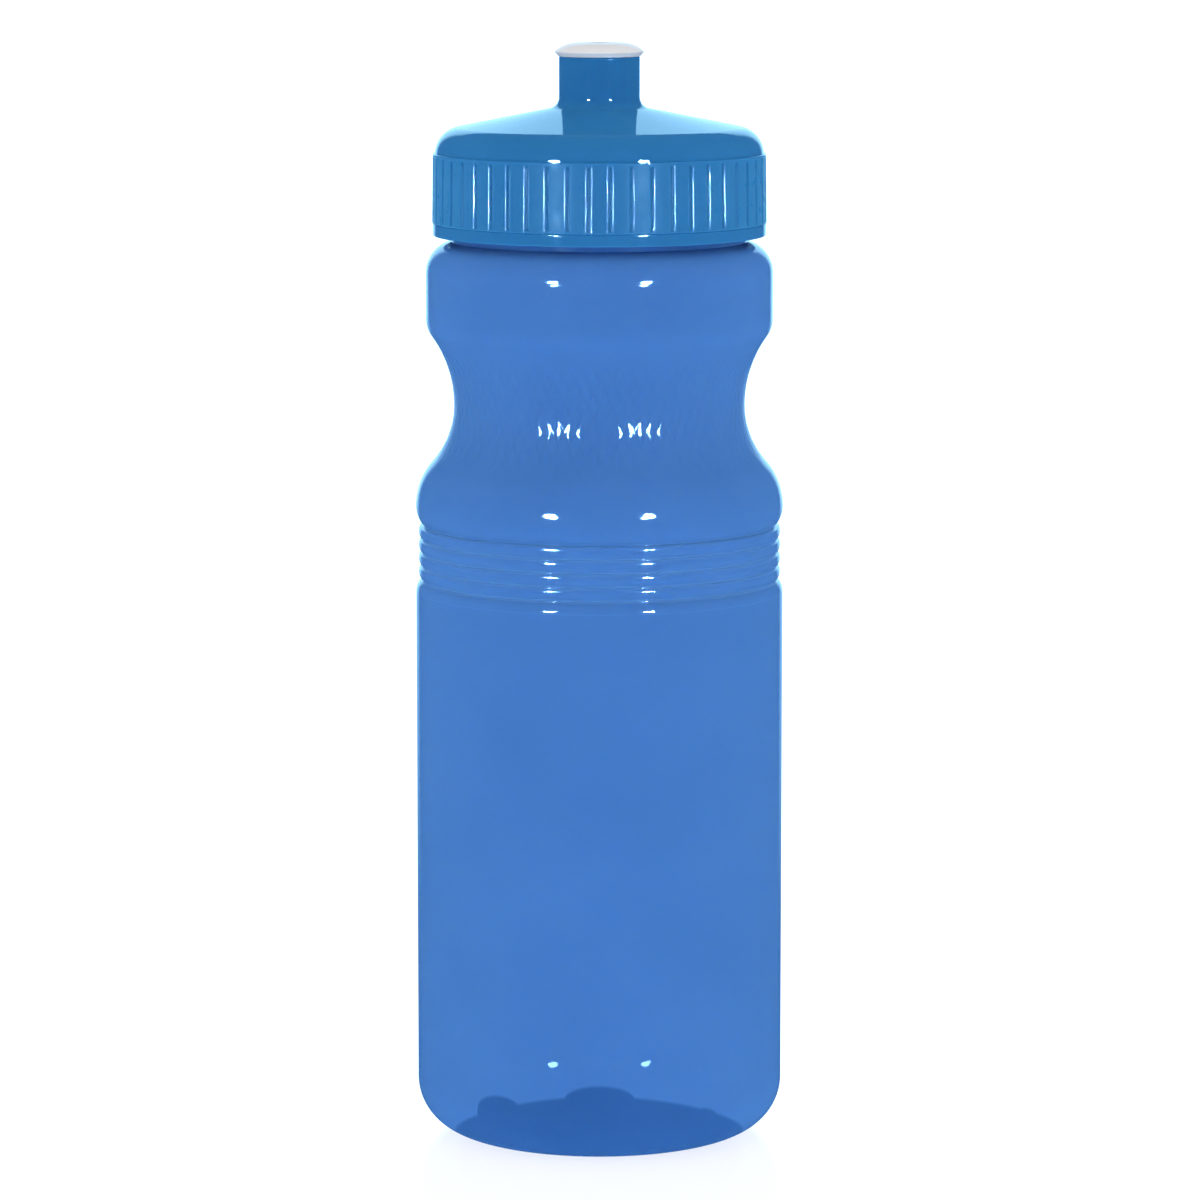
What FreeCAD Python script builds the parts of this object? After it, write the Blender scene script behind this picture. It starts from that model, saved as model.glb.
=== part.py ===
"""Sports squeeze bottle: blow-moulded body, screw lid with a drinking tube, lid seal and push-pull mouthpiece.

Millimetres, +Z up, origin on the ground under the centre of the base. Every sub-part is turned about the Z axis, so
each one is a revolved outline (radius, height) with its own threads, grip pads, base lobes or spokes added.
"""

import math
import os

import FreeCAD
import Part
import Sketcher

BODY_DIMS = {
    "body_r": 37.2,  # straight wall of the bottle, outside
    "wall": 0.7,
    "base_corner": 10.7,  # rounding between the wall and the ground
    "foot_in_r": 24.6,  # inner edge of the flat ring that the bottle stands on
    "base_wall": 1.1,
    "push_up": 7.2,  # height of the raised centre of the base
    "push_disc_r": 6.5,
    "lobe_count": 5,
    "lobe_pitch_r": 17.2,
    "lobe_ball_r": 9.2,
    "lobe_top": 6.4,
    "lobe_turn": 266.0,  # degrees from +X to the first lobe
    "body_top": 111.4,
    "notch_low": 113.8,  # centre of the lowest of the ring notches
    "notch_pitch": 2.76,
    "notch_half": 0.36,
    "notch_r": 36.1,
    "ring_edge_r": 36.66,
    "ring_arc": 4.5,
    "bulge_z": 128.8,
    "bulge_foot_r": 35.75,
    "bulge_arc": 13.2,
    "waist_r": 29.42,
    "waist_z": 149.3,
    "band_r": 35.04,
    "band_low": 166.75,
    "band_low_arc": 6.0,
    "band_top": 175.9,
    "band_top_arc": 6.5,
    "neck_r": 29.8,
    "neck_bore_r": 28.0,
    "neck_top": 200.3,
    "rim_round": 0.5,
}
THREAD_DIMS = {
    "thread_pitch": 5.0,
    "neck_thread_low": 187.6,
    "neck_thread_r": 30.95,
    "neck_thread_half": 1.25,
    "neck_thread_tip": 0.45,
    "neck_turns": 1.4,
    "lid_thread_low": 185.7,
    "lid_thread_r": 30.45,
    "lid_thread_half": 1.05,
    "lid_thread_tip": 0.4,
    "lid_turns": 1.3,
    "thread_bite": 0.3,  # how far a thread's root is sunk into its wall
}
LID_DIMS = {
    "lid_low": 183.5,
    "skirt_in_r": 31.4,
    "skirt_r": 33.1,  # foot of the domed top, inside the grip pads' upper edge
    "lip_r": 33.6,
    "lip_top": 185.9,
    "ledge_r": 33.45,  # crease between the lip and the grip pads
    "pad_low": 186.0,
    "pad_low_r": 33.68,
    "pad_top": 199.85,
    "pad_top_r": 33.5,
    "pad_slope": 0.15,
    "gap_count": 50,  # upright grooves that part the grip pads
    "gap_width": 0.9,
    "gap_floor_r": 33.2,
    "gap_low": 186.5,
    "gap_top": 199.2,
    "shoulder_z": 199.7,
    "shoulder_arc": 5.6,
    "cone_angle": 11.4,
    "lid_wall": 1.65,
    "tube_r": 8.17,
    "tube_fillet": 2.3,
    "tube_top": 219.4,
    "tube_edge": 0.3,
    "tube_bore_r": 6.6,
    "bore_step": 210.1,
    "well_bore_r": 7.35,
    "well_r": 8.9,
    "well_low": 201.0,
    "plug_in_r": 26.4,
    "plug_r": 27.6,
    "plug_low": 197.8,
    "land_z": 201.8,
    "land_r": 30.3,
    "skirt_corner": 200.2,
    "post_r": 2.6,
    "post_tip_r": 1.95,
    "post_neck": 218.0,
    "post_top": 221.9,
    "spoke_count": 3,
    "spoke_width": 1.4,
    "spoke_height": 1.6,
}
SEAL_DIMS = {"seal_in_r": 27.9, "seal_r": 29.9}
MOUTH_DIMS = {
    "hole_r": 2.05,
    "hole_edge": 0.3,
    "flange_top": 222.05,
    "flange_flat_r": 5.0,
    "flange_r": 9.0,
    "flange_edge_z": 220.55,
    "flange_edge": 0.35,
    "flange_foot_r": 8.3,
    "sleeve_r": 6.52,
    "sleeve_bore_r": 4.6,
    "sleeve_low": 203.0,
    "bead_r": 7.05,
    "bead_top": 204.6,
    "bead_slope": 0.6,
    "bead_height": 0.5,
    "roof_low": 219.6,
}
CLEAR = 30.0  # overshoot of the tool that clears the space under the base

doc = FreeCAD.newDocument("squeeze_bottle")
sheet = doc.addObject("Spreadsheet::Sheet", "dims")


def fill_sheet():
    """One row for each driving dimension: its name, its value and its alias."""
    row = 0
    for table in (BODY_DIMS, THREAD_DIMS, LID_DIMS, SEAL_DIMS, MOUTH_DIMS):
        for name, value in table.items():
            row += 1
            sheet.set(f"A{row}", name)
            sheet.set(f"B{row}", str(value))
            sheet.setAlias(f"B{row}", name)
    doc.recompute()


def named(text):
    """The expression text with every dimension's name led by the sheet's."""
    out = text
    for table in (BODY_DIMS, THREAD_DIMS, LID_DIMS, SEAL_DIMS, MOUTH_DIMS):
        for name in table:
            out = replace_word(out, name)
    return out


def replace_word(text, word):
    """text with each whole word changed to dims.word."""
    parts = text.split(word)
    out = parts[0]
    for piece in parts[1:]:
        before = out[-1:]
        whole = not (before.isalnum() or before in ("_", ".")) and not (piece[:1].isalnum() or piece[:1] == "_")
        out += ("dims." + word if whole else word) + piece
    return out


def number(text):
    """The value of an expression in millimetres or degrees."""
    value = sheet.evalExpression(named(text))
    return float(getattr(value, "Value", value))


def plane_sketch(body, name, role="XZ_Plane"):
    """A sketch on one of the body's own origin planes; on XZ its x is the radius and its y the height."""
    sketch = body.newObject("Sketcher::SketchObject", name)
    plane = [f for f in body.Origin.OriginFeatures if f.Role == role][0]
    sketch.AttachmentSupport = (plane, [""])
    sketch.MapMode = "FlatFace"
    return sketch


def arc_between(start, end, radius, side):
    """The arc from start to end whose centre lies left (side 1) or right (side -1) of the way along it."""
    chord = end - start
    half = chord.Length / 2
    left = FreeCAD.Vector(-chord.y, chord.x, 0).normalize()
    centre = (start + end) * 0.5 + left * side * math.sqrt(max(radius**2 - half**2, 0))
    first, last = (start, end) if side > 0 else (end, start)
    begin = math.atan2(first.y - centre.y, first.x - centre.x)
    finish = math.atan2(last.y - centre.y, last.x - centre.x)
    circle = Part.Circle(centre, FreeCAD.Vector(0, 0, 1), radius)
    return Part.ArcOfCircle(circle, begin, finish if finish > begin else finish + 2 * math.pi)


def pin_to(sketch, edge, end, axis, text):
    """Holds one coordinate of an edge's end at an expression."""
    if abs(number(text)) < 1e-9:
        line = -2 if axis == "X" else -1
        sketch.addConstraint(Sketcher.Constraint("PointOnObject", edge, end, line))
        return
    made = sketch.addConstraint(Sketcher.Constraint("Distance" + axis, -1, 1, edge, end, number(text)))
    sketch.setExpression(f"Constraints[{made}]", named(text))


def draw_outline(sketch, corners):
    """Closed outline. A corner is (radius, height) or (radius, height, arc, side): the arc leads to the next corner."""
    points = [FreeCAD.Vector(number(c[0]), number(c[1]), 0) for c in corners]
    ends = []
    for i, corner in enumerate(corners):
        start, end = points[i], points[(i + 1) % len(points)]
        if len(corner) == 2:
            edge = sketch.addGeometry(Part.LineSegment(start, end))
            ends.append((edge, 1, 2))
            continue
        edge = sketch.addGeometry(arc_between(start, end, number(corner[2]), corner[3]))
        ends.append((edge, 1, 2) if corner[3] > 0 else (edge, 2, 1))
        made = sketch.addConstraint(Sketcher.Constraint("Radius", edge, number(corner[2])))
        sketch.setExpression(f"Constraints[{made}]", named(corner[2]))
    for i, corner in enumerate(corners):
        edge, begin, _ = ends[i]
        before, _, finish = ends[i - 1]
        sketch.addConstraint(Sketcher.Constraint("Coincident", before, finish, edge, begin))
        pin_to(sketch, edge, begin, "X", corner[0])
        pin_to(sketch, edge, begin, "Y", corner[1])


def turned(body, name, corners, kind="Revolution"):
    """A Revolution or Groove of a closed outline about the Z axis."""
    sketch = plane_sketch(body, name + "_outline")
    draw_outline(sketch, corners)
    feature = body.newObject("PartDesign::" + kind, name)
    feature.Profile = sketch
    feature.ReferenceAxis = (sketch, ["V_Axis"])
    feature.Angle = 360
    sketch.Visibility = False
    doc.recompute()
    return feature


def patterned(body, name, feature, count):
    """count copies of a feature, spaced evenly about the Z axis."""
    pattern = body.newObject("PartDesign::PolarPattern", name)
    pattern.Originals = [feature]
    pattern.Axis = ([f for f in body.Origin.OriginFeatures if f.Role == "Z_Axis"][0], [""])
    pattern.Angle = 360
    pattern.setExpression("Occurrences", named(count))
    body.Tip = pattern
    doc.recompute()
    return pattern


def thread(body, name, wall, crest, half, tip, low, turns):
    """A helical ridge of trapezoid section; wall and crest are its radii, half and tip its half-widths there."""
    sketch = plane_sketch(body, name + "_section")
    draw_outline(
        sketch,
        [(wall, f"{low} - {half}"), (crest, f"{low} - {tip}"), (crest, f"{low} + {tip}"), (wall, f"{low} + {half}")],
    )
    helix = body.newObject("PartDesign::AdditiveHelix", name)
    helix.Profile = sketch
    helix.ReferenceAxis = (sketch, ["V_Axis"])
    helix.Mode = "pitch-turns-angle"
    helix.setExpression("Pitch", named("thread_pitch"))
    helix.setExpression("Turns", named(turns))
    body.Tip = helix
    doc.recompute()
    return helix


def s_bend(low_r, low_z, high_r, high_z, arc, arc_at_low):
    """The angle and other radius of two arcs that leave both ends upright and meet smoothly between them.

    arc is the radius at the lower end (arc_at_low) or at the upper one. Returns the joint's radius and height and the
    two radii, lower first, as expressions.
    """
    rise = f"({high_z} - ({low_z}))"
    reach = f"abs({high_r} - ({low_r}))"
    angle = f"(2 * atan({reach} / {rise}))"
    other = f"({rise} / sin({angle}) - ({arc}))"
    low_arc, high_arc = (arc, other) if arc_at_low else (other, arc)
    inward = "-" if number(f"{high_r} - ({low_r})") < 0 else "+"
    joint_r = f"{low_r} {inward} ({low_arc}) * (1 - cos({angle}))"
    joint_z = f"{low_z} + ({low_arc}) * sin({angle})"
    return joint_r, joint_z, low_arc, high_arc


def base_flank():
    """Outside corners of the raised middle of the base, from the axis outwards."""
    return [("0", "push_up"), ("push_disc_r", "push_up"), ("foot_in_r", "0")]


def outer_wall():
    """Outside of the bottle from the standing ring to the neck's rim."""
    corners = [("body_r - base_corner", "0", "base_corner", 1), ("body_r", "base_corner")]
    to_notch = "(notch_low - body_top)"
    drop = "(body_r - notch_r)"
    corners += [("body_r", "body_top", f"({to_notch}^2 + {drop}^2) / (2 * {drop})", 1)]
    rings = 4
    for k in range(rings):
        z = f"notch_low + {k} * notch_pitch"
        corners += [("notch_r", z), ("ring_edge_r", f"{z} + notch_half", "ring_arc", 1)]
        corners += [("ring_edge_r", f"{z} + notch_pitch - notch_half")]
    top_notch = f"(notch_low + {rings} * notch_pitch)"
    lift = f"(bulge_z - {top_notch})"
    drop = "(body_r - bulge_foot_r)"
    corners += [("bulge_foot_r", top_notch, f"({lift}^2 + {drop}^2) / (2 * {drop})", 1)]
    joint_r, joint_z, low_arc, high_arc = s_bend("body_r", "bulge_z", "waist_r", "waist_z", "bulge_arc", True)
    corners += [("body_r", "bulge_z", low_arc, 1), (joint_r, joint_z, high_arc, -1)]
    joint_r, joint_z, low_arc, high_arc = s_bend("waist_r", "waist_z", "band_r", "band_low", "band_low_arc", False)
    corners += [("waist_r", "waist_z", low_arc, -1), (joint_r, joint_z, high_arc, 1)]
    in_reach = "(neck_r - band_r + band_top_arc)"
    corners += [("band_r", "band_low"), ("band_r", "band_top", "band_top_arc", 1)]
    corners += [("neck_r", f"band_top + sqrt(band_top_arc^2 - {in_reach}^2)")]
    corners += [("neck_r", "neck_top - rim_round", "rim_round", 1), ("neck_r - rim_round", "neck_top")]
    return corners


def inner_wall():
    """Inside of the bottle from the neck's rim down to the axis."""
    inside, band_in, waist_in = "body_r - wall", "band_r - wall", "waist_r - wall"
    corners = [("neck_bore_r + rim_round", "neck_top", "rim_round", 1), ("neck_bore_r", "neck_top - rim_round")]
    corners += [("neck_bore_r", "band_top + band_top_arc - wall")]
    corners += [("band_r - band_top_arc", "band_top + band_top_arc - wall", "band_top_arc - wall", -1)]
    corners += [(band_in, "band_top")]
    joint_r, joint_z, low_arc, high_arc = s_bend(waist_in, "waist_z", band_in, "band_low", "band_low_arc - wall", False)
    corners += [(band_in, "band_low", high_arc, -1), (joint_r, joint_z, low_arc, 1)]
    joint_r, joint_z, low_arc, high_arc = s_bend(inside, "bulge_z", waist_in, "waist_z", "bulge_arc - wall", True)
    corners += [(waist_in, "waist_z", high_arc, 1), (joint_r, joint_z, low_arc, -1)]
    notch_in = "notch_r - wall"
    top_notch = "(notch_low + 4 * notch_pitch)"
    drop = "(body_r - notch_r)"
    corners += [(inside, "bulge_z", f"((bulge_z - {top_notch})^2 + {drop}^2) / (2 * {drop})", -1)]
    corners += [(notch_in, top_notch)]
    corners += [(notch_in, "notch_low", f"((notch_low - body_top)^2 + {drop}^2) / (2 * {drop})", -1)]
    corners += [(inside, "body_top"), (inside, "base_corner", "base_corner - wall", -1)]
    corners += [("body_r - base_corner", "wall"), ("foot_in_r", "wall")]
    corners += [("push_disc_r", "push_up + base_wall"), ("0", "push_up + base_wall")]
    return corners


def base_lobe(body, name, kind, radius):
    """One ball of the base's lobes, and its copies about the axis."""
    ball = body.newObject(f"PartDesign::{kind}Sphere", name)
    ball.setExpression("Radius", named(radius))
    ball.setExpression("Placement.Base.x", named("lobe_pitch_r * cos(lobe_turn)"))
    ball.setExpression("Placement.Base.y", named("lobe_pitch_r * sin(lobe_turn)"))
    ball.setExpression("Placement.Base.z", named("lobe_top - lobe_ball_r"))
    doc.recompute()
    patterned(body, name + "s", ball, "lobe_count")


def make_bottle():
    """Blow-moulded body: one wall of revolution, a threaded neck and five lobes pushed up into the base."""
    body = doc.addObject("PartDesign::Body", "bottle_body")
    turned(body, "bottle_wall", base_flank() + outer_wall() + inner_wall())
    base_lobe(body, "lobe_skin", "Additive", "lobe_ball_r + base_wall")
    under = [("0", f"-{CLEAR}"), (f"body_r + {CLEAR}", f"-{CLEAR}"), (f"body_r + {CLEAR}", "0")]
    turned(body, "space_under_base", under + base_flank()[::-1], "Groove")
    base_lobe(body, "lobe_hollow", "Subtractive", "lobe_ball_r")
    root = "neck_r - thread_bite"
    shape = ("neck_thread_half", "neck_thread_tip", "neck_thread_low", "neck_turns")
    thread(body, "neck_thread", root, "neck_thread_r", *shape)
    return body


def lid_outline():
    """Section of the lid: skirt, grip pads as one ring, domed top, drinking tube, valve well and sealing plug."""
    flat = "cone_angle"
    arc_end_r = f"(skirt_r - shoulder_arc * (1 - sin({flat})))"
    arc_end_z = f"(shoulder_z + shoulder_arc * cos({flat}))"
    bend_r = "(tube_r + tube_fillet)"
    bend_z = f"({arc_end_z} + ({arc_end_r} - {bend_r}) * tan({flat}) + tube_fillet / cos({flat}))"
    under_z = f"({arc_end_z} + {arc_end_r} * tan({flat}) - lid_wall / cos({flat}))"
    outside = [
        ("lip_r - tube_edge", "lid_low"),
        ("lip_r", "lid_low + tube_edge"),
        ("lip_r", "lip_top - pad_slope"),
        ("ledge_r", "lip_top"),
        ("pad_low_r", "pad_low + pad_slope"),
        ("pad_top_r", "pad_top"),
        ("skirt_r", "pad_top + pad_slope", "shoulder_arc", 1),
        (arc_end_r, arc_end_z),
        (f"{bend_r} - tube_fillet * sin({flat})", f"{bend_z} - tube_fillet * cos({flat})", "tube_fillet", -1),
        ("tube_r", bend_z),
        ("tube_r", "tube_top - tube_edge"),
        ("tube_r - tube_edge", "tube_top"),
    ]
    inside = [
        ("tube_bore_r + tube_edge", "tube_top"),
        ("tube_bore_r", "tube_top - tube_edge"),
        ("tube_bore_r", "bore_step"),
        ("well_bore_r", "bore_step - well_bore_r + tube_bore_r"),
        ("well_bore_r", "well_low"),
        ("well_r", "well_low"),
        ("well_r", f"{under_z} - well_r * tan({flat})"),
        ("plug_in_r", f"{under_z} - plug_in_r * tan({flat})"),
        ("plug_in_r", "plug_low + tube_edge"),
        ("plug_in_r + tube_edge", "plug_low"),
        ("plug_r - tube_edge", "plug_low"),
        ("plug_r", "plug_low + tube_edge"),
        ("plug_r", "land_z"),
        ("land_r", "land_z"),
        ("skirt_in_r", "skirt_corner"),
        ("skirt_in_r", "lid_low + 2 * tube_edge"),
        ("skirt_in_r + 2 * tube_edge", "lid_low"),
    ]
    return outside + inside


def make_lid():
    """One moulding: the turned section, grooves cut between grip pads, inner thread, and the post on its spokes."""
    body = doc.addObject("PartDesign::Body", "lid")
    turned(body, "lid_shell", lid_outline())
    gap = body.newObject("PartDesign::SubtractiveBox", "pad_gap")
    gap.setExpression("Length", named("lip_r - gap_floor_r + 1"))
    gap.setExpression("Width", named("gap_width"))
    gap.setExpression("Height", named("gap_top - gap_low"))
    gap.setExpression("Placement.Base.x", named("gap_floor_r"))
    gap.setExpression("Placement.Base.y", named("-gap_width / 2"))
    gap.setExpression("Placement.Base.z", named("gap_low"))
    doc.recompute()
    patterned(body, "pad_gaps", gap, "gap_count")
    root = "skirt_in_r + thread_bite"
    shape = ("lid_thread_half", "lid_thread_tip", "lid_thread_low", "lid_turns")
    thread(body, "lid_thread", root, "lid_thread_r", *shape)
    spoke = body.newObject("PartDesign::AdditiveBox", "spoke")
    spoke.setExpression("Length", named("(well_r + well_bore_r) / 2"))
    spoke.setExpression("Width", named("spoke_width"))
    spoke.setExpression("Height", named("spoke_height"))
    spoke.setExpression("Placement.Base.y", named("-spoke_width / 2"))
    spoke.setExpression("Placement.Base.z", named("well_low"))
    doc.recompute()
    patterned(body, "spokes", spoke, "spoke_count")
    post = [
        ("0", "well_low"),
        ("post_r", "well_low"),
        ("post_r", "post_neck"),
        ("post_tip_r", "post_neck + post_r - post_tip_r"),
        ("post_tip_r", "post_top - tube_edge"),
        ("post_tip_r - tube_edge", "post_top"),
        ("0", "post_top"),
    ]
    turned(body, "post", post)
    return body


def make_seal():
    """Flat ring that the lid presses on the neck's rim."""
    body = doc.addObject("PartDesign::Body", "lid_seal")
    ring = [("seal_in_r", "neck_top"), ("seal_r", "neck_top"), ("seal_r", "land_z"), ("seal_in_r", "land_z")]
    turned(body, "seal_ring", ring)
    return body


def make_mouthpiece():
    """Push-pull mouthpiece: rounded flange over the tube, sleeve inside it, and a bead that stops it pulling out."""
    body = doc.addObject("PartDesign::Body", "mouthpiece")
    drop = "(flange_top - flange_edge_z)"
    reach = "(flange_r - flange_flat_r)"
    section = [
        ("hole_r", "roof_low"),
        ("sleeve_bore_r", "roof_low - 2 * hole_edge"),
        ("sleeve_bore_r", "sleeve_low"),
        ("sleeve_r", "sleeve_low"),
        ("bead_r", "bead_top - bead_slope - bead_height"),
        ("bead_r", "bead_top - bead_slope"),
        ("sleeve_r", "bead_top"),
        ("sleeve_r", "tube_top"),
        ("flange_foot_r", "tube_top"),
        ("flange_r", "flange_edge_z - flange_edge"),
        ("flange_r", "flange_edge_z", f"({reach}^2 + {drop}^2) / (2 * {drop})", 1),
        ("flange_flat_r", "flange_top"),
        ("hole_r + hole_edge", "flange_top"),
        ("hole_r", "flange_top - hole_edge"),
    ]
    turned(body, "mouthpiece_shell", section)
    return body


def check_and_export(parts):
    """Stops on a failed feature or a bad solid, then writes one STEP file for each sub-part."""
    doc.recompute()
    for thing in doc.Objects:
        if "Invalid" in thing.State or "Error" in thing.State:
            raise RuntimeError(f"{thing.Name} failed: {thing.State}")
    os.makedirs("parts", exist_ok=True)
    for part in parts:
        shape = part.Shape
        if shape.isNull() or not shape.isValid() or len(shape.Solids) != 1:
            raise RuntimeError(f"{part.Name} is not one valid solid")
        shape.exportStep(f"parts/{part.Label}.step")
        print(f"{part.Label}: {shape.Volume:.0f} mm3, {shape.BoundBox}")


fill_sheet()
check_and_export([make_bottle(), make_lid(), make_seal(), make_mouthpiece()])
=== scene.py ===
"""Sports squeeze bottle: the looks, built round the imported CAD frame.

Radii and heights in the outlines are millimetres in the CAD's own frame, and meshes are scaled to
metres once, when they are made. An outline is a list of corners (radius, height) or (radius, height,
arc, side), as in the CAD: the arc leads to the next corner, and its centre lies left (side 1) or
right (side -1) of the way there.
"""

import math

import bpy
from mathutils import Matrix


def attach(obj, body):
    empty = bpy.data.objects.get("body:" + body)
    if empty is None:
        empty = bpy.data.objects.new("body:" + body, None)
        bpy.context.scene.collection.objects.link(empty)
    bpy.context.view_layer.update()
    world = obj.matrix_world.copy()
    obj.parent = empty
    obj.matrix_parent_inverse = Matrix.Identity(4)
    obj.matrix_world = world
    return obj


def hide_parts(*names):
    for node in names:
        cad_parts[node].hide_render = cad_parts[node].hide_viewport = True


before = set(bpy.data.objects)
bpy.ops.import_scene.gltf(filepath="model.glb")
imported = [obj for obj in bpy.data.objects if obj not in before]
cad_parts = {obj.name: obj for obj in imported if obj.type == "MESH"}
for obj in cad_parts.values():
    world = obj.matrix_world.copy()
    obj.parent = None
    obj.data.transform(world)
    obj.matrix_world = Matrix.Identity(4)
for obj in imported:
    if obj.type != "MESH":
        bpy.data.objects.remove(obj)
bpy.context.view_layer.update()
MM = 0.001
TURN = 2 * math.pi

# ---------------------------------------------------------------- camera
CAMERA_BACK = 1.116  # metres in front of the bottle's axis
CAMERA_SIDE = 0.00012
CAMERA_UP = 0.268
CAMERA_PITCH = math.radians(8.1)
SENSOR = 36.0  # mm, as is the lens's focal length
LENS = 166.3


def add_camera():
    """Long lens in front of the bottle, a little above it and looking slightly down."""
    data = bpy.data.cameras.new("photo_camera")
    data.sensor_width = SENSOR
    data.lens = LENS
    data.clip_start = 0.05
    data.clip_end = 60
    camera = bpy.data.objects.new("photo_camera", data)
    camera.location = (CAMERA_SIDE, -CAMERA_BACK, CAMERA_UP)
    camera.rotation_euler = (math.pi / 2 - CAMERA_PITCH, 0, 0)
    bpy.context.scene.collection.objects.link(camera)
    bpy.context.scene.camera = camera
    bpy.context.scene.view_settings.view_transform = "Standard"


add_camera()

# ---------------------------------------------------------------- bottle's dimensions, mm
BODY_R = 37.2
WALL = 0.7
BASE_CORNER = 10.7
FOOT_IN_R = 24.6
BASE_WALL = 1.1
BASE_STEP = (0.4, 0.1)  # out and up from the foot's inner edge, to where the wall meets the thicker base
PUSH_UP = 7.2
PUSH_DISC_R = 6.5
LOBES = 5
LOBE_PITCH_R = 17.2
LOBE_BALL_R = 9.2
LOBE_TOP = 6.4
LOBE_TURN = math.radians(266)
BODY_TOP = 111.4
NOTCH_LOW = 113.8
NOTCH_PITCH = 2.76
NOTCH_R = 36.1
RING_EDGE_R = 36.66
RING_SLOPE = 1.35  # height of each ring's slope, above its notch
RING_STEP = 0.4  # height of the steeper step at its top
RING_CROWN = 5.0  # arc between the two
RING_ARC = 2.6
RINGS = 4
RING_SOFTENING = 5  # passes of rounding for the rings' edges
BULGE_Z = 128.8
BULGE_FOOT_R = 35.75
BULGE_ARC = 13.2
WAIST_R = 29.42
WAIST_Z = 149.3
BAND_R = 35.04
BAND_LOW = 166.75
BAND_LOW_ARC = 6.0
BAND_TOP = 175.9
BAND_TOP_ARC = 6.5
NECK_R = 29.8
NECK_BORE_R = 28.0
NECK_TOP = 200.3
RIM_ROUND = 0.5

PITCH = 5.0  # of both threads
THREAD_FADE = 12  # a thread rises, and fades, over one twelfth of a turn
NECK_THREAD_DEPTH = 1.15
NECK_THREAD = {"low": 187.6, "turns": 1.4, "half": 1.25, "tip": 0.45}
NECK_THREAD_ZONE = (185.8, 196.4)  # heights between which the neck's mesh is fine enough for its thread

GRIP_LOW = 138.3
GRIP_TOP = 160.4
GRIP_FADE = 1.0  # height over which the knurl rises at its lower and upper edge
GRIP_COLUMNS = 80
GRIP_RISE = 5.14  # height of one diamond
GRIP_CROWN = 0.058  # how far each diamond stands out at its middle
GRIP_LINE_DEPTH = 0.045  # grooves between the diamonds
GRIP_LINE = 0.2  # half their width, as a share of a diamond

COARSE = 160  # mesh segments round the plain parts of the bottle
GRIP_SAMPLES = 12  # mesh columns in one column of diamonds
BASE_ROWS = 44
THREAD_ROWS = 48
RING_CLEAR = 1.0  # height below the rings at which the inner wall starts to run straight
GRIP_CLEAR = 0.2  # least height between the knurl's mesh and the rows beside it
HOLD = 0.15  # a row this close to each end of a straight run keeps its shading flat


# ---------------------------------------------------------------- outlines
def arc_points(start, end, radius, side, step):
    """Points of an arc from start up to, but not including, end."""
    (r0, z0), (r1, z1) = start, end
    dr, dz = r1 - r0, z1 - z0
    chord = math.hypot(dr, dz)
    rise = math.sqrt(max(radius**2 - chord**2 / 4, 0))
    cr = (r0 + r1) / 2 - dz / chord * side * rise
    cz = (z0 + z1) / 2 + dr / chord * side * rise
    sweep = 2 * math.asin(min(chord / 2 / radius, 1)) * side
    first = math.atan2(z0 - cz, r0 - cr)
    count = max(2, round(abs(sweep) * radius / step))
    angles = [first + sweep * k / count for k in range(count)]
    return [(cr + radius * math.cos(a), cz + radius * math.sin(a)) for a in angles]


def trace(corners, step=0.6, line_step=8.0):
    """Points along an open outline: arcs divided every step, straight runs every line_step."""
    points = []
    for corner, following in zip(corners, corners[1:]):
        start, end = corner[:2], following[:2]
        if len(corner) == 4:
            points += arc_points(start, end, corner[2], corner[3], step)
            continue
        length = math.hypot(end[0] - start[0], end[1] - start[1])
        count = max(1, math.ceil(length / line_step))
        shares = [k / count for k in range(count)]
        if length > 4 * HOLD:
            shares = [0, HOLD / length] + shares[1:] + [1 - HOLD / length]
        for share in shares:
            points.append((start[0] + (end[0] - start[0]) * share, start[1] + (end[1] - start[1]) * share))
    return points + [corners[-1][:2]]


def s_bend(low, high, arc, arc_at_low):
    """Where two arcs that leave both ends upright meet, and their radii, lower first.

    arc is the radius of one of them, the lower one if arc_at_low.
    """
    rise, reach = high[1] - low[1], abs(high[0] - low[0])
    angle = 2 * math.atan(reach / rise)
    other = rise / math.sin(angle) - arc
    low_arc, high_arc = (arc, other) if arc_at_low else (other, arc)
    way = 1 if high[0] > low[0] else -1
    joint = (low[0] + way * low_arc * (1 - math.cos(angle)), low[1] + low_arc * math.sin(angle))
    return joint, low_arc, high_arc


def bow(run, drop):
    """Radius of an arc that leaves upright and falls away by drop over run."""
    return (run**2 + drop**2) / (2 * drop)


def foot_corners():
    """Outer wall from the standing ring up to the rings."""
    corners = [(FOOT_IN_R, 0), (BODY_R - BASE_CORNER, 0, BASE_CORNER, 1)]
    return corners + [(BODY_R, BASE_CORNER), (BODY_R, BODY_TOP)]


def ring_corners():
    """Outer wall from the rings up to the bulge."""
    corners = [(BODY_R, BODY_TOP, bow(NOTCH_LOW - BODY_TOP, BODY_R - NOTCH_R), 1)]
    crown = (NOTCH_PITCH - RING_STEP - RING_SLOPE) ** 2 / (2 * RING_CROWN)
    for k in range(RINGS):
        z = NOTCH_LOW + k * NOTCH_PITCH
        corners += [(NOTCH_R, z, RING_ARC, 1), (RING_EDGE_R, z + RING_SLOPE, RING_CROWN, 1)]
        corners += [(RING_EDGE_R - crown, z + NOTCH_PITCH - RING_STEP)]
    top = NOTCH_LOW + RINGS * NOTCH_PITCH
    return corners + [(BULGE_FOOT_R, top, bow(BULGE_Z - top, BODY_R - BULGE_FOOT_R), 1), (BODY_R, BULGE_Z)]


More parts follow.
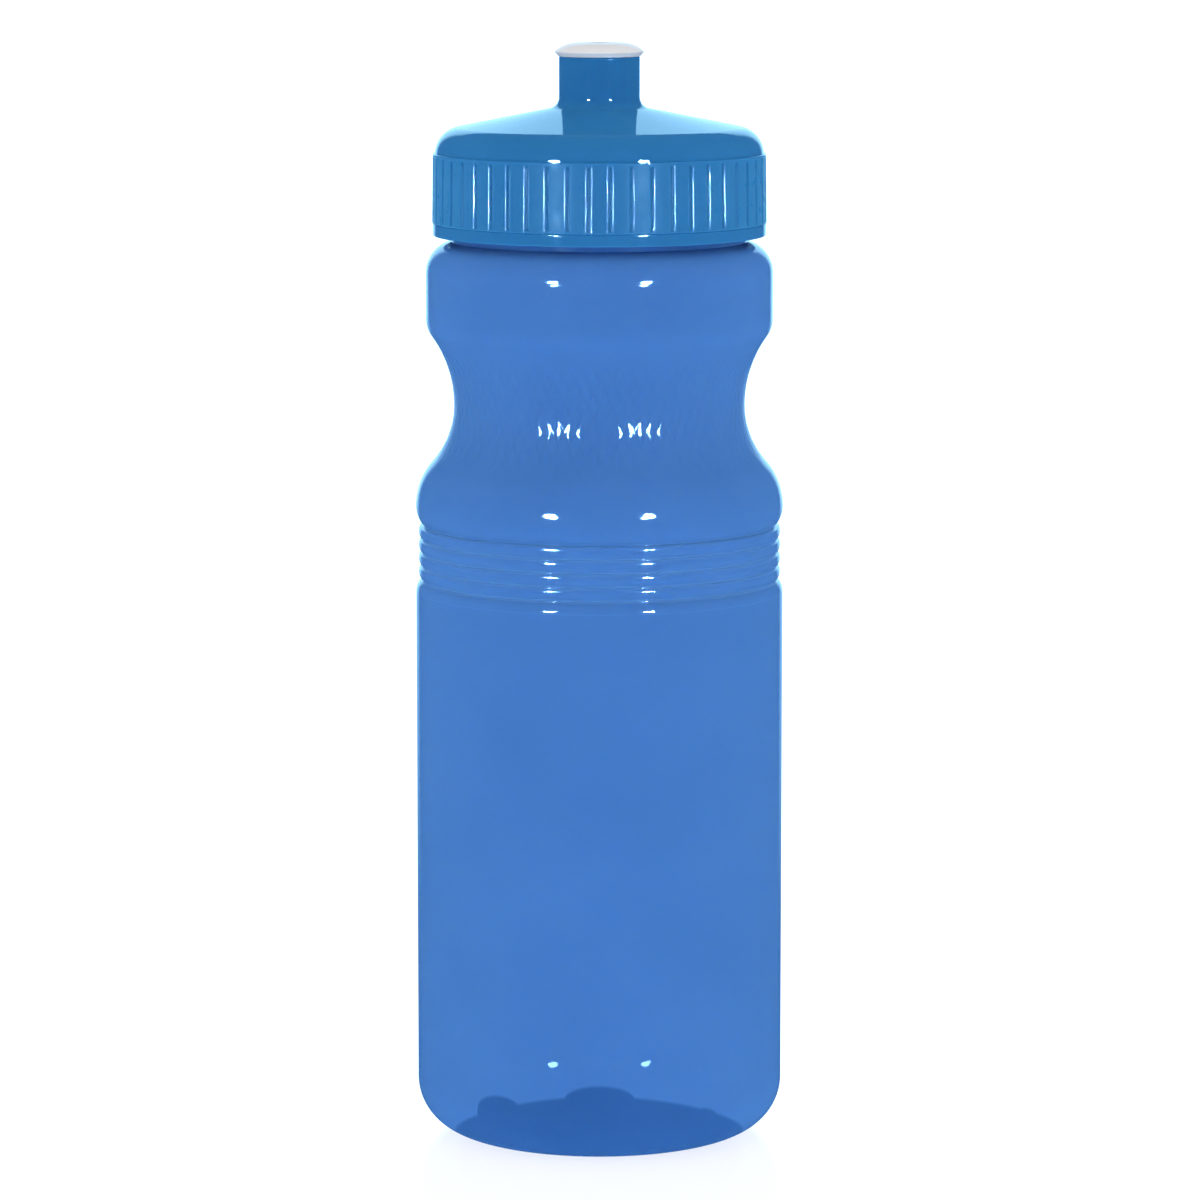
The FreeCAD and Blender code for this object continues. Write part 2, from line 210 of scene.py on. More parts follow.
def waist_corners(shrink):
    """Bulge, waist and upper band, going up, moved in from the outer wall by shrink."""
    low, mid = (BODY_R - shrink, BULGE_Z), (WAIST_R - shrink, WAIST_Z)
    high = (BAND_R - shrink, BAND_LOW)
    joint, first, second = s_bend(low, mid, BULGE_ARC - shrink, True)
    corners = [(*low, first, 1), (*joint, second, -1)]
    joint, first, second = s_bend(mid, high, BAND_LOW_ARC - shrink, False)
    return corners + [(*mid, first, -1), (*joint, second, 1), (*high,), (BAND_R - shrink, BAND_TOP)]


def rounded(points, passes):
    """The outline with its corners softened by averaging neighbours."""
    for _ in range(passes):
        inner = [
            ((p[0] + 2 * q[0] + r[0]) / 4, (p[1] + 2 * q[1] + r[1]) / 4)
            for p, q, r in zip(points, points[1:], points[2:])
        ]
        points = [points[0]] + inner + [points[-1]]
    return points


def upright(radius, low, high, rows):
    """Evenly spaced points up a straight wall, or down it where high is below low."""
    return [(radius, low + (high - low) * k / rows) for k in range(rows + 1)]


# ---------------------------------------------------------------- mesh building
class Skin:
    """A closed skin turned about the Z axis, built ring by ring."""

    def __init__(self):
        self.verts = []
        self.faces = []
        self.rings = []

    def add_ring(self, points, angles):
        """Adds a ring of points (x, y, z) in mm at the given angles and joins it to the one before."""
        start = len(self.verts)
        self.verts += points
        self.rings.append((list(range(start, start + len(points))), angles))
        if len(self.rings) > 1:
            self.join(self.rings[-2], self.rings[-1])

    def join(self, low, high):
        """Faces between two rings: quads where their counts match, otherwise triangles in order of angle."""
        (low, low_angles), (high, high_angles) = low, high
        count, other = len(low), len(high)
        if count == other:
            for i in range(count):
                j = (i + 1) % count
                self.split_quad(low[i], low[j], high[j], high[i])
            return
        i = j = 0
        while i < count or j < other:
            next_low = low_angles[(i + 1) % count] + TURN * ((i + 1) // count)
            next_high = high_angles[(j + 1) % other] + TURN * ((j + 1) // other)
            if other == 1 or (count > 1 and i < count and (j == other or next_low < next_high)):
                self.faces.append((low[i], low[(i + 1) % count], high[j % other]))
                i += 1
                j = max(j, other if other == 1 else 0)
            else:
                self.faces.append((low[i % count], high[(j + 1) % other], high[j]))
                j += 1
                i = max(i, count if count == 1 else 0)

    def split_quad(self, a, b, c, d):
        """A quad, or two triangles split along whichever diagonal stands out further from the axis."""
        reach = [math.hypot(self.verts[i][0], self.verts[i][1]) for i in (a, b, c, d)]
        spread = abs(reach[0] + reach[2] - reach[1] - reach[3])
        if spread < 1e-4:
            self.faces.append((a, b, c, d))
        elif reach[0] + reach[2] > reach[1] + reach[3]:
            self.faces += [(a, b, c), (a, c, d)]
        else:
            self.faces += [(b, c, d), (b, d, a)]

    def turn(self, rows, columns, shape=None):
        """Adds rows of (radius, height) as rings; shape(radius, height, angle) may move each point.

        columns is a count of even columns, or a list of their angles.
        """
        angles = columns if isinstance(columns, list) else [TURN * i / columns for i in range(columns)]
        for radius, height in rows:
            if radius < 1e-6:
                self.add_ring([(0, 0, height)], [0.0])
                continue
            points = []
            for angle in angles:
                r, z = shape(radius, height, angle) if shape else (radius, height)
                points.append((r * math.cos(angle), r * math.sin(angle), z))
            self.add_ring(points, angles)

    def close(self):
        """Joins the last ring to the first, for a section that goes round like a washer's."""
        self.join(self.rings[-1], self.rings[0])

    def make(self, name, body, sharp=35):
        """The finished object, smooth-shaded but for edges sharper than the given angle."""
        mesh = bpy.data.meshes.new(name)
        mesh.from_pydata([(x * MM, y * MM, z * MM) for x, y, z in self.verts], [], self.faces)
        mesh.validate()
        mesh.polygons.foreach_set("use_smooth", [True] * len(mesh.polygons))
        mesh.set_sharp_from_angle(angle=math.radians(sharp))
        piece = bpy.data.objects.new(name, mesh)
        bpy.context.scene.collection.objects.link(piece)
        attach(piece, body)
        return piece


def smooth(share):
    """Eases 0 to 1."""
    share = min(max(share, 0), 1)
    return share * share * (3 - 2 * share)


def thread_height(angle, height, low, turns, half, tip):
    """How much of a thread's full depth stands at one place of a wall, 0 to 1.

    low is the height of the thread's middle where it starts, half its half width at the root, and
    tip its half width at the crest.
    """
    along = angle / TURN
    best = 0
    for k in range(math.ceil(turns) + 1):
        run = along + k
        if run > turns:
            continue
        off = abs(height - low - PITCH * run)
        ends = smooth(run * THREAD_FADE) * smooth((turns - run) * THREAD_FADE)
        best = max(best, ends * min(max((half - off) / (half - tip), 0), 1))
    return best


# ---------------------------------------------------------------- bottle
def base_height(radius, angle):
    """Underside of the base: a raised middle, a sloping flank and balls pushed up into it."""
    slope = PUSH_UP * (FOOT_IN_R - radius) / (FOOT_IN_R - PUSH_DISC_R)
    height = min(max(slope, 0), PUSH_UP)
    for k in range(LOBES):
        lobe = LOBE_TURN + TURN * k / LOBES
        gap = radius**2 + LOBE_PITCH_R**2 - 2 * radius * LOBE_PITCH_R * math.cos(angle - lobe)
        if gap < LOBE_BALL_R**2:
            height = max(height, LOBE_TOP - LOBE_BALL_R + math.sqrt(LOBE_BALL_R**2 - gap))
    return height


def under_base(radius, height, angle):
    """A point under the base."""
    return radius, base_height(radius, angle)


def over_base(radius, height, angle):
    """A point on the base inside the bottle."""
    return radius, base_height(radius, angle) + BASE_WALL


def grip_shape(radius, height, angle):
    """Small crowned diamonds round the waist, parted by fine crossing grooves."""
    column = angle * GRIP_COLUMNS / TURN
    row = height / GRIP_RISE
    rise, fall = column + row, column - row
    a, b = rise - round(rise), fall - round(fall)
    crown = GRIP_CROWN * (1 - 2 * (a * a + b * b))
    line = smooth(1 - (0.5 - max(abs(a), abs(b))) / GRIP_LINE)
    edge = smooth((height - GRIP_LOW) / GRIP_FADE) * smooth((GRIP_TOP - height) / GRIP_FADE)
    return radius + edge * (crown - GRIP_CROWN - GRIP_LINE_DEPTH * line), height


def grip_rows(outline):
    """Evenly spaced rows of the waist's knurl, with radii read from the outline."""
    step = GRIP_RISE / GRIP_SAMPLES
    first, last = math.ceil(GRIP_LOW / step), math.floor(GRIP_TOP / step)
    rows = []
    for k in range(first, last + 1):
        z = k * step
        for (r0, z0), (r1, z1) in zip(outline, outline[1:]):
            if z0 <= z <= z1:
                rows.append((r0 + (r1 - r0) * (z - z0) / (z1 - z0), z))
                break
    return rows


def neck_shape(radius, height, angle):
    """The neck's raised thread."""
    return radius + NECK_THREAD_DEPTH * thread_height(angle, height, **NECK_THREAD), height


def add_outside(skin, rings):
    """The outer wall from the foot up to the neck's thread."""
    skin.turn(trace(foot_corners(), step=0.5)[1:-1], COARSE)
    skin.turn(rings[:-1], COARSE)
    waist = trace(waist_corners(0), step=0.7)
    skin.turn([p for p in waist if p[1] < GRIP_LOW - GRIP_CLEAR], COARSE)
    skin.turn(grip_rows(trace(waist_corners(0), step=0.3)), GRIP_COLUMNS * GRIP_SAMPLES, grip_shape)
    skin.turn([p for p in waist if p[1] > GRIP_TOP + GRIP_CLEAR], COARSE)
    reach = NECK_R - BAND_R + BAND_TOP_ARC
    neck_foot = (NECK_R, BAND_TOP + math.sqrt(BAND_TOP_ARC**2 - reach**2))
    skin.turn(trace([(BAND_R, BAND_TOP, BAND_TOP_ARC, 1), neck_foot], step=0.5)[1:], COARSE)
    skin.turn(upright(NECK_R, *NECK_THREAD_ZONE, THREAD_ROWS), COARSE, neck_shape)


def add_rim(skin):
    """Over the neck's rounded rim."""
    rim = [(NECK_R, NECK_TOP - RIM_ROUND, RIM_ROUND, 1), (NECK_R - RIM_ROUND, NECK_TOP)]
    rim += [(NECK_BORE_R + RIM_ROUND, NECK_TOP, RIM_ROUND, 1), (NECK_BORE_R, NECK_TOP - RIM_ROUND)]
    skin.turn(trace(rim, step=0.15), COARSE)


def add_inside(skin, rings):
    """The inner wall from the neck's bore down to the base, following the outer wall."""
    step_in = BAND_TOP + BAND_TOP_ARC - WALL
    skin.turn([(NECK_BORE_R, step_in)], COARSE)
    shoulder = [(BAND_R - BAND_TOP_ARC, step_in, BAND_TOP_ARC - WALL, -1), (BAND_R - WALL, BAND_TOP)]
    skin.turn(trace(shoulder, step=0.8), COARSE)
    skin.turn(trace(waist_corners(WALL), step=1.0)[::-1][1:], COARSE)
    every_other = rings[-4::-2]  # from the top down, clear of the waist's last row
    skin.turn([(r - WALL, z) for r, z in every_other], COARSE)
    low = [(BODY_R - WALL, BODY_TOP - RING_CLEAR), (BODY_R - WALL, BASE_CORNER, BASE_CORNER - WALL, -1)]
    low += [(BODY_R - BASE_CORNER, WALL), (FOOT_IN_R + BASE_STEP[0], WALL + BASE_STEP[1])]
    skin.turn(trace(low, step=1.0), COARSE)


def build_bottle():
    """One closed skin: under the base, up the outside, over the rim, down the inside and over the base."""
    skin = Skin()
    base_rows = [(FOOT_IN_R * k / BASE_ROWS, 0) for k in range(1, BASE_ROWS + 1)]
    rings = rounded(trace(ring_corners(), step=0.1, line_step=0.1), RING_SOFTENING)
    skin.turn([(0, PUSH_UP)], COARSE)
    skin.turn(base_rows, COARSE, under_base)
    add_outside(skin, rings)
    add_rim(skin)
    add_inside(skin, rings)
    skin.turn(base_rows[::-1], COARSE, over_base)
    skin.turn([(0, PUSH_UP + BASE_WALL)], COARSE)
    piece = skin.make("bottle_wall", "bottle")
    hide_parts("bottle_body")
    return piece


bottle = build_bottle()

# ---------------------------------------------------------------- lid's dimensions, mm
LID_LOW = 183.5
SKIRT_IN_R = 31.4
SKIRT_CHAMFER = 0.6  # widening of the bore at the skirt's lower edge
SKIRT_R = 33.1
LIP_R = 33.6
LIP_TOP = 185.9
PAD_LOW = 186.0
PAD_LOW_R = 33.68
PAD_TOP = 199.85
PAD_TOP_R = 33.5
PAD_ROUND = 0.15
PAD_FOOT = ((0.11, 0.02), (0.03, 0.07), (0.0, PAD_ROUND))  # rounding under a pad: in from its face, up
PAD_HEAD_ROUND = 0.25
PAD_HOLD = 1.0  # a column this far from each groove keeps the pads' faces flat
GAPS = 50
GAP_LOW = 186.5
GAP_TOP = 199.2
GAP_HALF = 0.45
GAP_DEPTH = 0.35
GAP_ROUND = 0.3  # rounding of a groove's edges
GAP_SLOPE = math.radians(40)  # how far the rounding turns before a groove's straight sides
GAP_EDGE = GAP_ROUND * (1 - math.cos(GAP_SLOPE))  # depth at which the straight sides begin
GAP_ROWS = 10
GAP_END = 0.6  # height of a groove's end that the even rows leave out
SHOULDER_Z = 199.7
SHOULDER_ARC = 5.6
CONE = math.radians(11.4)
LID_WALL = 1.65
TUBE_R = 8.17
TUBE_FILLET = 2.3
TUBE_TOP = 219.4
TUBE_EDGE = 0.3
TUBE_BORE_R = 6.6
BORE_STEP = 210.1
WELL_BORE_R = 7.35
WELL_R = 8.9
WELL_LOW = 201.0
PLUG_IN_R = 26.4
PLUG_R = 27.6
PLUG_LOW = 197.8
LAND_Z = 201.8
LAND_R = 30.3
SKIRT_CORNER = 200.2
LID_SEGMENTS = 4 * GAPS
LID_THREAD_DEPTH = 0.95
LID_THREAD = {"low": 185.7, "turns": 1.3, "half": 1.05, "tip": 0.4}
LID_THREAD_ZONE = (194.4, 184.3)  # heights between which the skirt's bore is fine enough for its thread
LID_THREAD_ROWS = 44


def groove_depth(inside):
    """Depth of a groove at a distance inside its edge: a rounded edge, a sloping side and a flat floor."""
    rounding = GAP_ROUND * math.sin(GAP_SLOPE)
    if inside <= -rounding:
        return 0
    if inside < 0:
        return GAP_ROUND - math.sqrt(GAP_ROUND**2 - (inside + rounding) ** 2)
    return min(GAP_EDGE + inside * math.tan(GAP_SLOPE), GAP_DEPTH)


def groove_steps():
    """Distances inside a groove's edge at which the mesh has a line, from the pad's face to the floor."""
    turns = 5
    angles = [GAP_SLOPE * k / turns for k in range(turns + 1)]
    rounding = [GAP_ROUND * (math.sin(angle) - math.sin(GAP_SLOPE)) for angle in angles]
    return rounding + [(GAP_DEPTH - GAP_EDGE) / math.tan(GAP_SLOPE)]


def pad_columns():
    """Angles of the mesh's columns round the grip pads, packed close at each groove's two edges."""
    pitch = TURN / GAPS
    offsets = [(step - GAP_HALF) / SKIRT_R for step in [-PAD_HOLD] + groove_steps()]
    offsets += [-offset for offset in offsets[::-1]] + [pitch / 2]
    return [pitch * k + offset for k in range(GAPS) for offset in offsets]


def pad_rows():
    """Rows up the faces of the grip pads, packed close at the grooves' two ends."""
    steps = groove_steps()
    heights = [GAP_LOW + step for step in steps]
    heights += [z for _, z in upright(0, GAP_LOW + GAP_END, GAP_TOP - GAP_END, GAP_ROWS)]
    heights += [GAP_TOP - step for step in steps[::-1]]
    lean = (PAD_TOP_R - PAD_LOW_R) / (PAD_TOP - PAD_LOW)
    rows = [(PAD_LOW_R - back, PAD_LOW + up) for back, up in PAD_FOOT]
    rows += [(PAD_LOW_R + lean * (z - PAD_LOW), z) for z in heights]
    head = PAD_TOP + PAD_ROUND
    corners = [(PAD_TOP_R, head - PAD_HEAD_ROUND, PAD_HEAD_ROUND, 1), (PAD_TOP_R - PAD_HEAD_ROUND, head)]
    return rows + trace(corners, step=0.06)


def pad_shape(radius, height, angle):
    """Narrow upright grooves cut between the grip pads; radius is the pads' face."""
    place = angle * GAPS / TURN
    across = GAP_HALF - abs(place - round(place)) * TURN / GAPS * SKIRT_R
    ends = min(height - GAP_LOW, GAP_TOP - height)
    return radius - min(groove_depth(across), groove_depth(ends)), height


def lip_corners():
    """The plain lip below the grip pads."""
    corners = [(LIP_R - TUBE_EDGE, LID_LOW, TUBE_EDGE, 1), (LIP_R, LID_LOW + TUBE_EDGE)]
    return corners + [(LIP_R, LIP_TOP - PAD_ROUND, PAD_ROUND, 1), (LIP_R - PAD_ROUND, LIP_TOP)]


def top_corners():
    """Over the shoulder, cone and tube, down the tube's bore, and back under the lid round its plug."""
    arc_end_r = SKIRT_R - SHOULDER_ARC * (1 - math.sin(CONE))
    arc_end_z = SHOULDER_Z + SHOULDER_ARC * math.cos(CONE)
    bend_r = TUBE_R + TUBE_FILLET
    bend_z = arc_end_z + (arc_end_r - bend_r) * math.tan(CONE) + TUBE_FILLET / math.cos(CONE)
    foot = (bend_r - TUBE_FILLET * math.sin(CONE), bend_z - TUBE_FILLET * math.cos(CONE))
    corners = [(SKIRT_R, PAD_TOP + PAD_ROUND, SHOULDER_ARC, 1), (arc_end_r, arc_end_z)]
    corners += [(*foot, TUBE_FILLET, -1), (TUBE_R, bend_z)]
    corners += [(TUBE_R, TUBE_TOP - TUBE_EDGE, TUBE_EDGE, 1), (TUBE_R - TUBE_EDGE, TUBE_TOP)]
    corners += [(TUBE_BORE_R + TUBE_EDGE, TUBE_TOP, TUBE_EDGE, 1), (TUBE_BORE_R, TUBE_TOP - TUBE_EDGE)]
    corners += [(TUBE_BORE_R, BORE_STEP), (WELL_BORE_R, BORE_STEP - WELL_BORE_R + TUBE_BORE_R)]
    under_z = arc_end_z + arc_end_r * math.tan(CONE) - LID_WALL / math.cos(CONE)
    corners += [(WELL_BORE_R, WELL_LOW), (WELL_R, WELL_LOW), (WELL_R, under_z - WELL_R * math.tan(CONE))]
    corners += [(PLUG_IN_R, under_z - PLUG_IN_R * math.tan(CONE))]
    corners += [(PLUG_IN_R, PLUG_LOW + TUBE_EDGE, TUBE_EDGE, 1), (PLUG_IN_R + TUBE_EDGE, PLUG_LOW)]
    corners += [(PLUG_R - TUBE_EDGE, PLUG_LOW, TUBE_EDGE, 1), (PLUG_R, PLUG_LOW + TUBE_EDGE)]
    return corners + [(PLUG_R, LAND_Z), (LAND_R, LAND_Z), (SKIRT_IN_R, SKIRT_CORNER)]


def lid_thread(radius, height, angle):
    """The lid's inner thread, standing in from the skirt's bore."""
    return radius - LID_THREAD_DEPTH * thread_height(angle, height, **LID_THREAD), height


def build_lid():
    """One closed skin: up the skirt, over the top and the tube, down its bore and back along the inside."""
    skin = Skin()
    skin.turn(trace(lip_corners(), step=0.1), LID_SEGMENTS)
    skin.turn(pad_rows(), pad_columns(), pad_shape)
    skin.turn(trace(top_corners(), step=0.25, line_step=6), LID_SEGMENTS)
    skin.turn(upright(SKIRT_IN_R, *LID_THREAD_ZONE, LID_THREAD_ROWS), LID_SEGMENTS, lid_thread)
    skin.turn([(SKIRT_IN_R + SKIRT_CHAMFER, LID_LOW)], LID_SEGMENTS)
    skin.close()
    piece = skin.make("lid_cap", "lid")
    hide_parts("lid")
    return piece


lid = build_lid()

# ---------------------------------------------------------------- post, seal and mouthpiece, mm
POST_SEGMENTS = 48
POST_R = 2.6
POST_LOW = 201.0
POST_TOP = 218.0
TIP_R = 1.95
TIP_LOW = 218.65
TIP_TOP = 221.9
TIP_ROUND = 0.3
SPOKES = 3
SPOKE_REACH = (2.3, 7.5)  # radii at which a spoke starts and ends
SPOKE_HALF = 0.7
SPOKE_TOP = 202.6

SEAL_SEGMENTS = 160
SEAL_IN_R = 27.9
SEAL_R = 29.9
SEAL_EDGE = 0.25

MOUTHPIECE_SEGMENTS = 128
HOLE_R = 2.05
HOLE_LOW = 219.6
HOLE_ROUND = 0.3
SLEEVE_IN_R = 4.6
SLEEVE_IN_TOP = 219.0
SLEEVE_R = 6.52
SLEEVE_LOW = 203.0
BEAD_R = 7.05
BEAD_SIDE = (203.5, 204.0)  # heights between which the stop bead is at its widest
BEAD_TOP = 204.6
FLANGE_FOOT_R = 8.3
FLANGE_UNDER = (8.85, 220.05)  # where the flange's edge starts to round over
FLANGE_UNDER_ARC = 0.35
FLANGE_R = 9.0
FLANGE_SIDE = 220.35
FLANGE_FLAT_R = 4.6
FLANGE_TOP = 222.05


def add_spoke(skin, angle):
    """A flat bar from the post out into the well's wall."""
    along = (math.cos(angle), math.sin(angle))
    start, end = SPOKE_REACH
    a = len(skin.verts)
    for z in (POST_LOW, SPOKE_TOP):
        for out, side in ((start, -SPOKE_HALF), (end, -SPOKE_HALF), (end, SPOKE_HALF), (start, SPOKE_HALF)):
            skin.verts.append((out * along[0] - side * along[1], out * along[1] + side * along[0], z))
    skin.faces += [(a + 3, a + 2, a + 1, a), (a + 4, a + 5, a + 6, a + 7)]
    skin.faces += [(a + i, a + (i + 1) % 4, a + 4 + (i + 1) % 4, a + 4 + i) for i in range(4)]


def build_post():
    """The plug on its spokes inside the tube."""
    skin = Skin()
    corners = [(0, POST_LOW), (POST_R, POST_LOW), (POST_R, POST_TOP), (TIP_R, TIP_LOW)]
    corners += [(TIP_R, TIP_TOP - TIP_ROUND, TIP_ROUND, 1), (TIP_R - TIP_ROUND, TIP_TOP), (0, TIP_TOP)]
    skin.turn(trace(corners, step=0.1, line_step=6), POST_SEGMENTS)
    for k in range(SPOKES):
        add_spoke(skin, TURN * k / SPOKES)
    return skin.make("valve_post", "lid")


def build_seal():
    """Flat ring with rounded edges between the lid and the neck's rim."""
    skin = Skin()
    low, high, edge = NECK_TOP, LAND_Z, SEAL_EDGE
    corners = [(SEAL_IN_R + edge, low), (SEAL_R - edge, low, edge, 1), (SEAL_R, low + edge)]
    corners += [(SEAL_R, high - edge, edge, 1), (SEAL_R - edge, high), (SEAL_IN_R + edge, high, edge, 1)]
    corners += [(SEAL_IN_R, high - edge), (SEAL_IN_R, low + edge, edge, 1), (SEAL_IN_R + edge, low)]
    skin.turn(trace(corners, step=0.1)[:-1], SEAL_SEGMENTS)
    skin.close()
    piece = skin.make("seal_ring", "lid_lifter")
    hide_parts("lid_seal")
    return piece


def build_mouthpiece():
    """Rounded flange, sleeve and stop bead of the push-pull mouthpiece."""
    skin = Skin()
    corners = [(HOLE_R, HOLE_LOW), (SLEEVE_IN_R, SLEEVE_IN_TOP), (SLEEVE_IN_R, SLEEVE_LOW)]
    corners += [(SLEEVE_R, SLEEVE_LOW), (BEAD_R, BEAD_SIDE[0]), (BEAD_R, BEAD_SIDE[1]), (SLEEVE_R, BEAD_TOP)]
    corners += [(SLEEVE_R, TUBE_TOP), (FLANGE_FOOT_R, TUBE_TOP), (*FLANGE_UNDER, FLANGE_UNDER_ARC, 1)]
    crown = bow(FLANGE_R - FLANGE_FLAT_R, FLANGE_TOP - FLANGE_SIDE)
    corners += [(FLANGE_R, FLANGE_SIDE, crown, 1), (FLANGE_FLAT_R, FLANGE_TOP)]
    corners += [(HOLE_R + HOLE_ROUND, FLANGE_TOP, HOLE_ROUND, 1), (HOLE_R, FLANGE_TOP - HOLE_ROUND)]
    skin.turn(trace(corners, step=0.2, line_step=5), MOUTHPIECE_SEGMENTS)
    skin.close()
    piece = skin.make("mouthpiece_flange", "mouthpiece")
    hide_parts("mouthpiece")
    return piece


post = build_post()
seal = build_seal()
mouthpiece = build_mouthpiece()

# ---------------------------------------------------------------- materials
# Each pair is the two ends of a slow, cloudy change over the surface.
WALL_BLUE = ((0.066, 0.196, 0.515), (0.073, 0.210, 0.550))
# The next colour darkens the thick base, and is painted shade low on the wall where the base and its balls
# would show through.
BASE_SHADE_BLUE = ((0.030, 0.117, 0.345), (0.036, 0.130, 0.380))
# The next colour is painted light: a lighter strip laid over the notches between the rings.
NOTCH_LIGHT_BLUE = ((0.113, 0.298, 0.720), (0.121, 0.312, 0.750))
LID_BLUE = ((0.025, 0.176, 0.392), (0.030, 0.190, 0.420))
MOUTH_WHITE = ((0.75, 0.73, 0.71), (0.79, 0.77, 0.75))
SEAL_WHITE = ((0.70, 0.70, 0.68), (0.80, 0.80, 0.78))
PLASTIC_IOR = 1.45
RUBBER_IOR = 1.4

# Painted shade: the base and its balls, as they would show dark through the wall, painted on at the front and
# back.
SHADE_TOP = 14.5  # height of the base's dark zone on the wall, at the front and back, mm
SHADE_FALL = 23.6  # how much lower it would be at the sides
SHADE_EDGE = 0.7  # width of its soft edge
SHADE_DISC_R = 28.0  # radius of the thick base itself
SHADE_ARCH = 0.35  # how round each ball's outline is: 0.5 is an ellipse, less is squarer
SHADE_BALLS = (  # middle across, half width, foot and top of each ball's outline, mm
    (0.0, 7.4, 12.0, 16.6),
    (-19.9, 4.6, 9.0, 13.3),
    (19.7, 4.0, 7.5, 10.8),
)
# Painted light: a lighter strip at each ring notch, lifting the shade there.
GLOW_RISE = 0.05  # middle of the lighter strip between two rings, above its notch, mm
GLOW_HALF = 0.45  # half its height
GLOW_EDGE = 0.25  # width of its soft edge
SMOOTH_BELOW = 30.0  # height under which the wall is smoothest, mm
PAD_POLISH = 0.006  # how far below a pad's face its polished edge begins, mm
POLISHED_SPECULAR = 0.5
PAD_SPECULAR = 0.04


def material(name, **values):
    """A new node material and its Principled shader, with the given sockets set."""
    mat = bpy.data.materials.new(name)
    mat.use_nodes = True
    nodes = mat.node_tree.nodes
    nodes.clear()
    shader = nodes.new("ShaderNodeBsdfPrincipled")
    out = nodes.new("ShaderNodeOutputMaterial")
    mat.node_tree.links.new(shader.outputs[0], out.inputs["Surface"])
    for key, value in values.items():
        shader.inputs[key.replace("_", " ")].default_value = value
    return mat, shader


def scattering(depth):
    """Shader values for plastic in which light spreads evenly, to the given depth in metres."""
    return {"Subsurface_Weight": 1.0, "Subsurface_Radius": (1.0, 1.0, 1.0), "Subsurface_Scale": depth}


def noise(mat, scale, detail=3):
    """Noise in the piece's own coordinates; scale is features per metre."""
    tree = mat.node_tree
    place = tree.nodes.new("ShaderNodeTexCoord")
    tex = tree.nodes.new("ShaderNodeTexNoise")
    tex.inputs["Scale"].default_value = scale
    tex.inputs["Detail"].default_value = detail
    tree.links.new(place.outputs["Object"], tex.inputs["Vector"])
    return tex


def ramp(mat, source, low, high):
    """A colour ramp over the middle of the source's range; low and high are colours or single values."""
    node = mat.node_tree.nodes.new("ShaderNodeValToRGB")
    for element, value, at in zip(node.color_ramp.elements, (low, high), (0.3, 0.7)):
        element.position = at
        element.color = (*value, 1) if isinstance(value, tuple) else (value, value, value, 1)
    mat.node_tree.links.new(source.outputs[0], node.inputs[0])
    return node.outputs[0]


def bump(mat, shader, source, distance):
    """Relief of the given depth in metres on the shader's normal."""
    node = mat.node_tree.nodes.new("ShaderNodeBump")
    node.inputs["Distance"].default_value = distance
    node.inputs["Strength"].default_value = 1.0
    mat.node_tree.links.new(source.outputs[0], node.inputs["Height"])
    mat.node_tree.links.new(node.outputs[0], shader.inputs["Normal"])


def calc(tree, operation, *values):
    """A math node; values are numbers or sockets."""
    node = tree.nodes.new("ShaderNodeMath")
    node.operation = operation
    for socket, value in zip(node.inputs, values):
        if isinstance(value, (int, float)):
            socket.default_value = value
        else:
            tree.links.new(value, socket)
    return node.outputs[0]


def clamped(tree, value):
    """The value kept between 0 and 1."""
    return calc(tree, "MINIMUM", calc(tree, "MAXIMUM", value, 0.0), 1.0)


def blend_colours(tree, factor, first, second):
    """A colour mix; first and second are colours or sockets."""
    node = tree.nodes.new("ShaderNodeMix")
    node.data_type = "RGBA"
    tree.links.new(factor, node.inputs["Factor"])
    for socket, value in zip((node.inputs["A"], node.inputs["B"]), (first, second)):
        if isinstance(value, tuple):
            socket.default_value = (*value, 1)
        else:
            tree.links.new(value, socket)
    return node.outputs["Result"]


def place_of(mat):
    """Sockets for the X, Y and Z of the piece's own coordinates, in mm."""
    tree = mat.node_tree
    place = tree.nodes.new("ShaderNodeTexCoord")
    split = tree.nodes.new("ShaderNodeSeparateXYZ")
    tree.links.new(place.outputs["Object"], split.inputs[0])
    return [calc(tree, "MULTIPLY", split.outputs[axis], 1 / MM) for axis in ("X", "Y", "Z")]


def radius_of(tree, x, y):
    """Distance from the axis."""
    return calc(tree, "SQRT", calc(tree, "MULTIPLY_ADD", x, x, calc(tree, "MULTIPLY", y, y)))


def ball_outline(tree, x, centre, half, foot, top):
    """Height of one ball's outline on the wall: an arch from foot to top, and 0 beside it."""
    off = calc(tree, "DIVIDE", calc(tree, "SUBTRACT", x, centre), half)
    inside = calc(tree, "SUBTRACT", 1.0, calc(tree, "MULTIPLY", off, off))
    arch = calc(tree, "POWER", calc(tree, "MAXIMUM", inside, 0.0), SHADE_ARCH)
    height = calc(tree, "MULTIPLY_ADD", arch, top - foot, foot)
    return calc(tree, "MULTIPLY", height, calc(tree, "GREATER_THAN", inside, 0.0))


def base_shade(mat):
    """1 on the thick base, which is darker, and low on the wall as painted shade where the base and its balls
    would show through it; 0 above.
    """
    tree = mat.node_tree
    x, y, z = place_of(mat)
    radius = radius_of(tree, x, y)
    facing = calc(tree, "DIVIDE", calc(tree, "ABSOLUTE", y), calc(tree, "MAXIMUM", radius, 1.0))
    top = calc(tree, "MULTIPLY_ADD", facing, SHADE_FALL, SHADE_TOP - SHADE_FALL)
    for ball in SHADE_BALLS:
        top = calc(tree, "MAXIMUM", top, ball_outline(tree, x, *ball))
    within = calc(tree, "LESS_THAN", radius, SHADE_DISC_R)
    disc = calc(tree, "MULTIPLY", within, calc(tree, "LESS_THAN", z, SHADE_TOP))
    depth = calc(tree, "MULTIPLY_ADD", calc(tree, "SUBTRACT", top, z), 1 / SHADE_EDGE, 0.5)
    return calc(tree, "MINIMUM", calc(tree, "MAXIMUM", depth, disc), 1.0)


